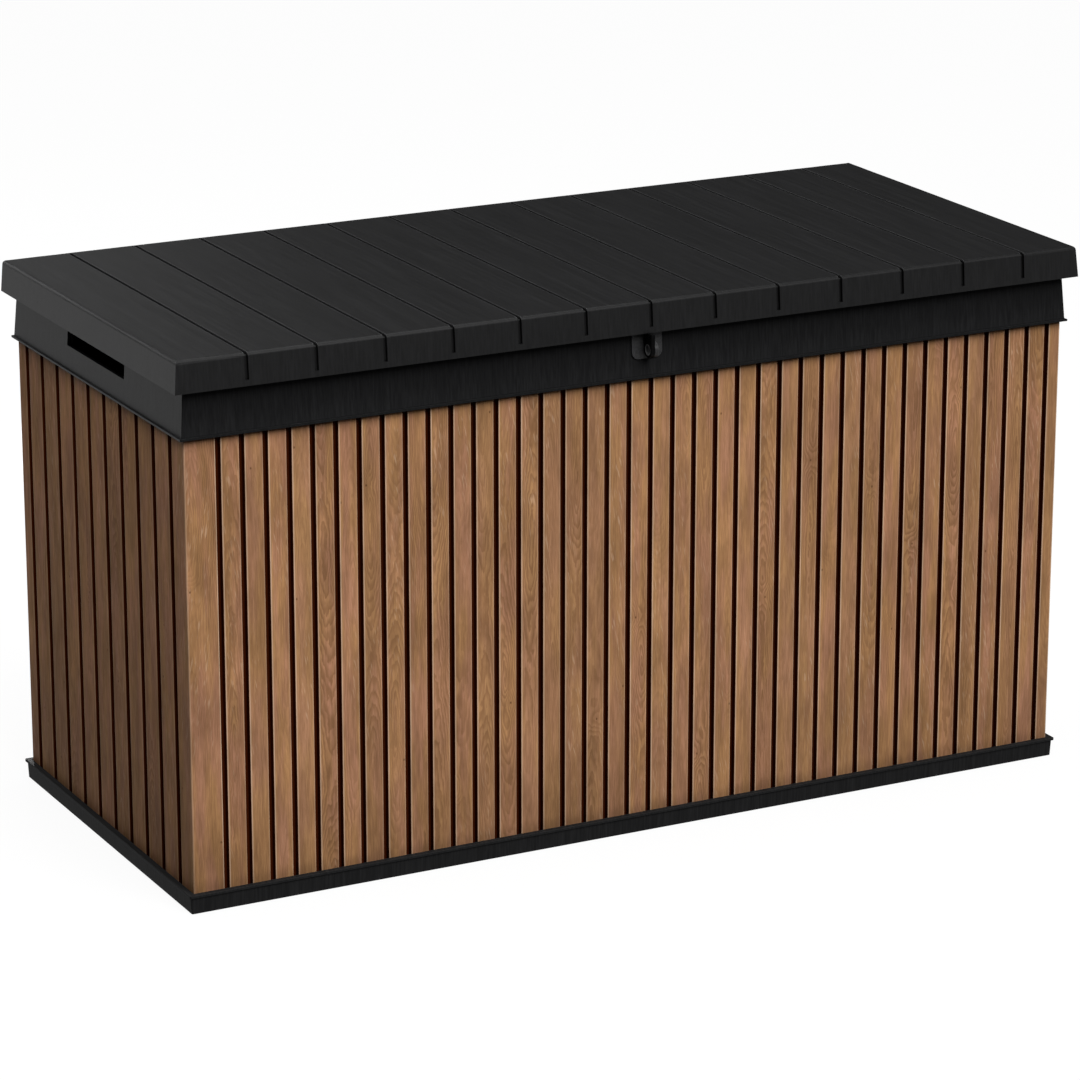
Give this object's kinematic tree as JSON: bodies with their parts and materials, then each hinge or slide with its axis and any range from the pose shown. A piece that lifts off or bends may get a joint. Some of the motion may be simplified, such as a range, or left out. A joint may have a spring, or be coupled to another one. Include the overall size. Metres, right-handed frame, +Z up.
{
  "type": "deck storage box",
  "caption": "Large outdoor storage box with brown wood-look slatted walls, black plinth and collar, and a black planked lid hinged along the back.",
  "frame": {"origin": "centre of the footprint on the ground", "axes": "+X to the right along the front, +Y to the hinged back, +Z up"},
  "size_m": [1.5318, 0.7005, 0.8466],
  "materials": {
    "slat_wood": "satin brown oak-like grain",
    "panel_resin": "matte black moulded resin",
    "collar_resin": "matte black resin with a fine upright grain",
    "plinth_resin": "matte black moulded resin",
    "lid_resin": "matte black resin with a fine wood grain",
    "liner_resin": "matte black moulded resin",
    "lock_resin": "satin dark grey moulded resin",
    "lock_tab_resin": "satin black moulded resin",
    "beam_steel": "galvanised steel tube",
    "bumper_rubber": "soft black rubber",
    "hinge_metal": "black powder coat",
    "pin_steel": "zinc-plated steel",
    "screw_steel": "dark zinc-plated steel"
  },
  "bodies": {
    "box": {"back_panel": "panel_resin", "back_slats": "slat_wood", "base_tray": "plinth_resin", "corner_post_back_left": "slat_wood", "corner_post_back_right": "slat_wood", "corner_post_front_left": "slat_wood", "corner_post_front_right": "slat_wood", "corner_screws": "screw_steel", "front_panel": "panel_resin", "front_slats": "slat_wood", "hand_cup_left": "panel_resin", "hand_cup_right": "panel_resin", "hinge_box_screws": "screw_steel", "hinge_left_box_leaf": "hinge_metal", "hinge_left_pin": "pin_steel", "hinge_middle_box_leaf": "hinge_metal", "hinge_middle_pin": "pin_steel", "hinge_right_box_leaf": "hinge_metal", "hinge_right_pin": "pin_steel", "left_panel": "panel_resin", "left_slats": "slat_wood", "lock_plate": "lock_resin", "lock_plate_screws": "screw_steel", "rail_back": "collar_resin", "rail_front": "collar_resin", "rail_left": "collar_resin", "rail_right": "collar_resin", "rail_screws": "screw_steel", "right_panel": "panel_resin", "right_slats": "slat_wood"},
    "lid": {"hinge_left_lid_leaf": "hinge_metal", "hinge_lid_screws": "screw_steel", "hinge_middle_lid_leaf": "hinge_metal", "hinge_right_lid_leaf": "hinge_metal", "lid_beam_back": "beam_steel", "lid_beam_front": "beam_steel", "lid_bumpers": "bumper_rubber", "lid_eye": "lock_tab_resin", "lid_eye_screws": "screw_steel", "lid_liner": "liner_resin", "lid_liner_screws": "screw_steel", "lid_shell": "lid_resin"}
  },
  "joints": [
    {"name": "lid_hinge", "type": "hinge", "parent": "box", "child": "lid", "pos_m": [0, 0.3335, 0.794], "axis": [-1, 0, 0], "range_deg": [0, 100]}
  ]
}
